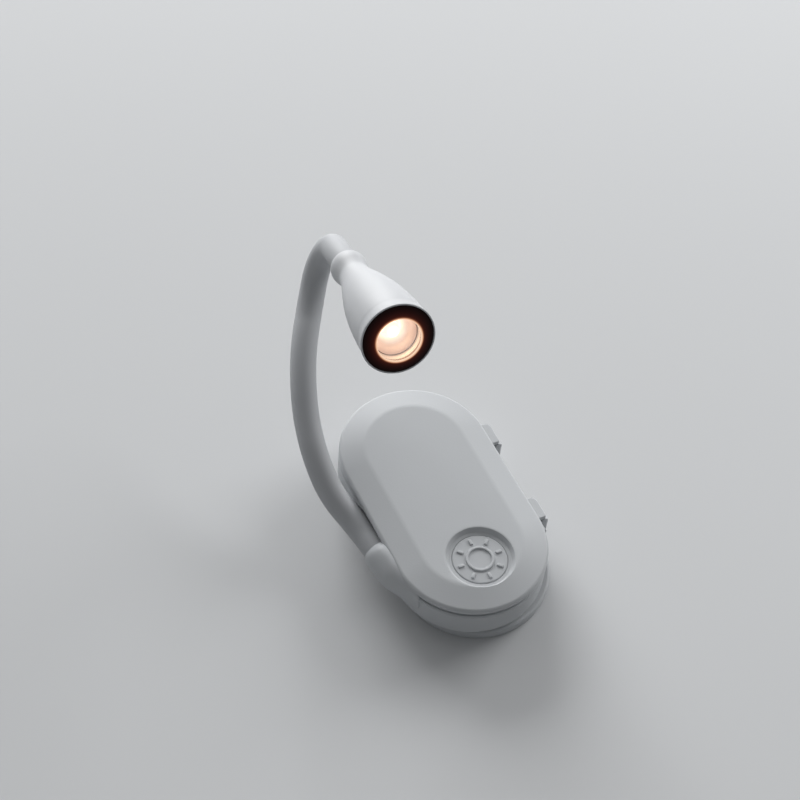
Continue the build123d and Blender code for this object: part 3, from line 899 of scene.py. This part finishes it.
bell_side = smooth_line(
    [
        (2.85, -1.8),
        (3.30, -1.4),
        (3.58, -0.7),
        (3.66, 0.2),
        (3.55, 1.2),
        (3.30, 2.4),
        (3.15, 3.4),
        (3.16, 4.1),
        (3.42, 5.6),
        (3.95, 7.8),
        (4.75, 10.8),
        (5.60, 14.4),
        (6.35, 18.8),
        (6.78, 23.2),
        (6.98, 26.6),
        (6.97, 27.4),
        (7.06, 28.4),
        (7.20, 29.3),
    ]
)
bell_front = rounded(
    [(7.20, 29.3, 0), (7.26, 30.0, 0.16), (6.94, 30.0, 0.08), (6.94, 28.8, 0), (5.95, 28.8, 0)], 4
)
bell_inside = [(5.95, 27.2), (5.45, 19.0), (4.55, 14.0), (2.78, 8.1), (2.78, -1.8)]
head_bell = turn("head_bell", in_mm(bell_side + bell_front[1:] + bell_inside), segments=128)
bpy.ops.mesh.select_all(action="DESELECT")
bpy.ops.mesh.select_non_manifold(extend=False)
bpy.ops.mesh.bridge_edge_loops()
close_mesh(30)
settle(head_bell, head_place)
dress(head_bell, "head", "head_plastic", head_plastic, "head_shell")
print("head bell", len(head_bell.data.polygons), "faces")

# %% [markdown]
# ## Bezel and lens
# A satin black ring holds the lens. The lens has a flange behind that ring and a shallow dome in
# its opening. Its back is hollowed like its front, so that it is a clear cover of even thickness
# through which the lamp shows undistorted.

# %% Grow the bezel and the lens
bezel_outline = rounded(
    [
        (5.25, 28.8, 0),
        (6.92, 28.8, 0.05),
        (6.92, 29.95, 0.2),
        (4.42, 30.62, 0.12),
        (4.26, 30.3, 0.06),
        (4.55, 29.9, 0.05),
        (4.55, 29.4, 0),
        (5.25, 29.4, 0),
        (5.25, 28.8, 0),
    ],
    5,
)
bezel = turn("bezel_ring", in_mm(bezel_outline), segments=128)
close_mesh(30)
settle(bezel, head_place)
dress(bezel, "head", "bezel_black", bezel_black, "head_bezel")

# In millimetres: the dome's own radius, its edge, its top and the lens's thickness
dome_radius = 10.6
dome_edge = 4.5
dome_top = 30.7
lens_wall = 0.4
dome_steps = 16
bowl_share = 0.99
dome = []
for step in range(dome_steps + 1):
    lean = math.asin(dome_edge / dome_radius) * (1 - step / dome_steps)
    dome.append((dome_radius * math.sin(lean), dome_top - dome_radius * (1 - math.cos(lean))))
bowl = [(r * bowl_share, z - lens_wall) for r, z in reversed(dome)]
lens_outline = bowl + [(4.455, 28.9), (5.2, 28.9), (5.2, 29.35), (4.5, 29.35)] + dome
lens = turn("lens_dome", in_mm(lens_outline), cap_start=True)
close_mesh(30)
settle(lens, head_place)
dress(lens, "head", "lens_clear", lens_clear, "lens")
print("bezel", len(bezel.data.polygons), "lens", len(lens.data.polygons), "faces")

# %% [markdown]
# ## Reflector and lamp chip
# Behind the lens sits a bright cup, and in its middle a white light-emitting chip: a small square
# body with a clear dome. The cup is grown as rings like the rest of the head.

# %% Grow the cup and the chip
cup_outline = rounded(
    [
        (1.95, 23.0, 0),
        (4.6, 23.0, 0),
        (5.4, 26.2, 0),
        (5.4, 28.75, 0),
        (4.44, 28.75, 0),
        (4.44, 29.25, 0),
        (4.40, 29.25, 0),
        (4.40, 27.9, 0),
        (4.22, 27.9, 0),
        (4.20, 27.98, 0.04),
        (4.08, 27.9, 0.1),
        (3.3, 26.3, 2.5),
        (2.05, 25.4, 0.3),
        (1.95, 23.0, 0),
    ],
    6,
)
cup = turn("reflector_cup", in_mm(cup_outline))
close_mesh(30)
settle(cup, head_place)
dress(cup, "head", "reflector_bright", reflector_bright, "reflector")

# In millimetres, along the head's axis where it is a height
chip_side = 3.0
chip_height = 0.7
chip_middle = 23.35
chip_arc = 0.12
drop_radius = 1.45
drop_middle = 26.1
bpy.ops.object.select_all(action="DESELECT")
bpy.ops.mesh.primitive_cube_add(size=chip_side * mm, location=(0, 0, chip_middle * mm))
chip = settle(bpy.context.object)
chip.name = "lamp_emitter"
edit(chip)
bpy.ops.mesh.select_all(action="SELECT")
bpy.ops.transform.resize(
    value=(1, 1, chip_height / chip_side), center_override=(0, 0, chip_middle * mm)
)
bpy.ops.mesh.bevel(offset=chip_arc * mm, segments=3, affect="EDGES")
close_mesh(30)
lamp_dome = [(drop_radius, 23.6), (drop_radius, 25.0)]
for degrees in range(0, 86, 5):
    lean = math.radians(degrees)
    lamp_dome.append((drop_radius * math.cos(lean), drop_middle + drop_radius * math.sin(lean)))
drop = turn("lamp_drop", in_mm(lamp_dome), segments=48, cap_start=True, cap_end=True)
close_mesh(40)
only(chip)
drop.select_set(True)
bpy.ops.object.join()
settle(chip, head_place)
dress(chip, "head", "emitter", emitter, "lamp_chip")
print("chip", len(chip.data.polygons), "faces")

# %% [markdown]
# ## Finishes on the CAD parts
# The other parts keep their CAD shape, which is already right: the rear cover, the clip's jaw, its
# spring and pin, the screws, the door and all that lies inside. Each gets the finish of its own
# material in the slots of its object.

# %% Paint the CAD parts
cad_paints = {
    "rear_cover": body_plastic,
    "battery_door": body_plastic,
    "clip_jaw": body_plastic,
    "switch_body": switch_black,
    "switch_plunger": switch_black,
    "circuit_board": circuit_green,
    "board_components": component_black,
    "coin_cell_lower": cell_steel,
    "coin_cell_upper": cell_steel,
    "cell_contact_lower": contact_steel,
    "cell_contact_upper": contact_steel,
    "battery_door_screw": screw_steel,
    "cover_screws": screw_steel,
    "hinge_pin": screw_steel,
    "clip_spring": spring_steel,
    "jaw_pad": pad_rubber,
    "housing_pad": pad_rubber,
    "board_leads": wire_red,
    "lamp_leads": wire_red,
    "lamp_slug": lamp_aluminium,
    "lamp_board": board_white,
}
for name, paint in cad_paints.items():
    part = nodes[name]
    if not part.material_slots:
        part.data.materials.append(paint.material)
    for slot in part.material_slots:
        slot.material = paint.material
print("painted", len(cad_paints), "CAD parts")

# %% [markdown]
# ## Floor
# The light lies on a plain pale floor. A backdrop can curve up behind the object or be one flat
# plane. A very wide flat plane was chosen: it is the simplest, and its far edge is metres away.

# %% Floor
floor_size = 8
floor_drop = 0.02 * mm
bpy.ops.object.select_all(action="DESELECT")
bpy.ops.mesh.primitive_plane_add(size=floor_size, location=(0, 0, -floor_drop))
floor = bpy.context.object
floor.name = "studio_floor"
floor_paint = Paint("studio_floor", Specular_IOR_Level=0.2)
sweep = floor_paint.noise(250 * mm, 2.0)
floor_paint.feed("Base Color", floor_paint.between(sweep, (0.60, 0.61, 0.62), (0.64, 0.65, 0.66)))
floor_paint.feed("Roughness", 0.75 + 0.1 * sweep)
floor.data.materials.append(floor_paint.material)
print("floor at", floor.location.z)

# %% [markdown]
# ## Light
# In the photograph a large soft light stands behind the object on the right, so the border that
# faces away from the camera is brightest and the one near the camera is darkest. A large area
# lamp stands there, a second one at the clip's side, and a weak one fills in from the front. A soft
# sun keeps the floor pale far behind the object, and the world gives the rest evenly.

# %% Lamps and world
light_aim = Vector((0, 0.01, 0.02))


def softbox(name, place, size, power):
    """A square area lamp that faces the middle of the object."""
    data = bpy.data.lights.new(name, "AREA")
    data.size = size
    data.energy = power
    lamp = bpy.data.objects.new(name, data)
    bpy.context.scene.collection.objects.link(lamp)
    place = Vector(place)
    turn_to = (light_aim - place).to_track_quat("-Z", "Y")
    lamp.matrix_world = Matrix.Translation(place) @ turn_to.to_matrix().to_4x4()
    lamp.visible_camera = False
    return lamp


softbox("key_light", (0.12, 1.15, 0.46), 0.8, 17.5)
softbox("side_light", (0.80, 0.20, 0.34), 0.5, 4.6)
softbox("fill_light", (-0.7, -0.5, 0.7), 0.8, 0.2)

sky = bpy.data.lights.new("sky_light", "SUN")
sky.energy = 0.4
sky.angle = math.radians(90)
sky_lamp = bpy.data.objects.new("sky_light", sky)
bpy.context.scene.collection.objects.link(sky_lamp)
sky_lamp.rotation_euler = (math.radians(-30), 0, 0)

world = bpy.data.worlds.new("studio")
bpy.context.scene.world = world
world.use_nodes = True
tree = world.node_tree
even = tree.nodes["Background"]
even.inputs["Color"].default_value = (0.96, 0.98, 1.0, 1)
even.inputs["Strength"].default_value = 0.16
pale = tree.nodes.new("ShaderNodeBackground")
pale.inputs["Color"].default_value = (0.80, 0.81, 0.82, 1)
pale.inputs["Strength"].default_value = 1.0
path = tree.nodes.new("ShaderNodeLightPath")
seen = path.outputs["Is Camera Ray"]
for ray_kind in ("Is Glossy Ray", "Is Transmission Ray"):
    either = tree.nodes.new("ShaderNodeMath")
    either.operation = "MAXIMUM"
    tree.links.new(seen, either.inputs[0])
    tree.links.new(path.outputs[ray_kind], either.inputs[1])
    seen = either.outputs[0]
choose = tree.nodes.new("ShaderNodeMixShader")
tree.links.new(seen, choose.inputs[0])
tree.links.new(even.outputs[0], choose.inputs[1])
tree.links.new(pale.outputs[0], choose.inputs[2])
tree.links.new(choose.outputs[0], tree.nodes["World Output"].inputs["Surface"])
bpy.context.scene.view_settings.view_transform = "Standard"
